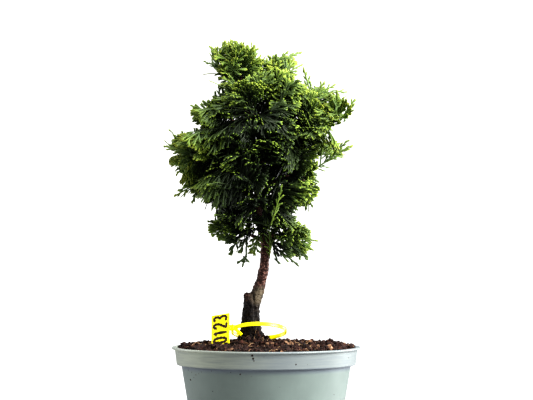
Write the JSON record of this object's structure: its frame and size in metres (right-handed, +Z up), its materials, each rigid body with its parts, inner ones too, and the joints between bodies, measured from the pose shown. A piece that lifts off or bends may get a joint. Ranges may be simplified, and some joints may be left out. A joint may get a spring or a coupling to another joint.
{
  "type": "hinoki cypress bonsai in a nursery pot",
  "caption": "Small bonsai cypress with a bent trunk and dense fans of scale-leaf foliage, standing in a round plastic nursery pot with a loop tag.",
  "frame": {"origin": "middle of the pot's underside, on the surface it stands on", "axes": "+Z up; -Y is the tree's front; +X to the right seen from the front"},
  "size_m": [0.1816, 0.17, 0.4032],
  "materials": {
    "pot_plastic": "moulded, lightly scuffed",
    "soil": "bark and peat mix, rough",
    "bark": "flaking bark",
    "tag_plastic": "moulded, bright",
    "foliage": "live scale leaves, slightly waxy"
  },
  "bodies": {
    "root": {"pot": "pot_plastic", "soil": "soil", "trunk": "bark", "tag": "tag_plastic", "low_left_spray_1": "foliage", "low_left_spray_2": "foliage", "low_left_spray_3": "foliage", "low_right_spray_1": "foliage", "low_right_spray_2": "foliage", "low_right_spray_3": "foliage", "low_right_spray_4": "foliage", "right_leader_spray_1": "foliage", "right_leader_spray_2": "foliage", "right_leader_spray_3": "foliage", "right_leader_spray_4": "foliage", "right_leader_spray_5": "foliage", "lower_left_spray_1": "foliage", "lower_left_spray_2": "foliage", "lower_left_spray_3": "foliage", "lower_left_spray_4": "foliage", "front_low_spray_1": "foliage", "front_low_spray_2": "foliage", "front_low_spray_3": "foliage", "back_low_spray_1": "foliage", "mid_left_spray_1": "foliage", "mid_left_spray_2": "foliage", "mid_left_spray_3": "foliage", "mid_left_spray_4": "foliage", "mid_left_spray_5": "foliage", "front_mid_spray_1": "foliage", "front_mid_spray_2": "foliage", "front_mid_spray_3": "foliage", "front_right_spray_1": "foliage", "front_right_spray_2": "foliage", "back_mid_spray_1": "foliage", "back_mid_spray_2": "foliage", "right_upper_spray_1": "foliage", "right_upper_spray_2": "foliage", "right_upper_spray_3": "foliage", "right_upper_spray_4": "foliage", "right_upper_spray_5": "foliage", "right_upper_spray_6": "foliage", "upper_left_spray_1": "foliage", "upper_left_spray_2": "foliage", "upper_left_spray_3": "foliage", "upper_left_spray_4": "foliage", "upper_left_spray_5": "foliage", "front_upper_spray_1": "foliage", "front_upper_spray_2": "foliage", "front_upper_spray_3": "foliage", "front_upper_spray_4": "foliage", "back_upper_spray_1": "foliage", "top_right_spray_1": "foliage", "top_right_spray_2": "foliage", "top_right_spray_3": "foliage", "top_spray_1": "foliage", "top_spray_2": "foliage", "top_spray_3": "foliage", "top_spray_4": "foliage", "top_spray_5": "foliage"}
  },
  "joints": []
}
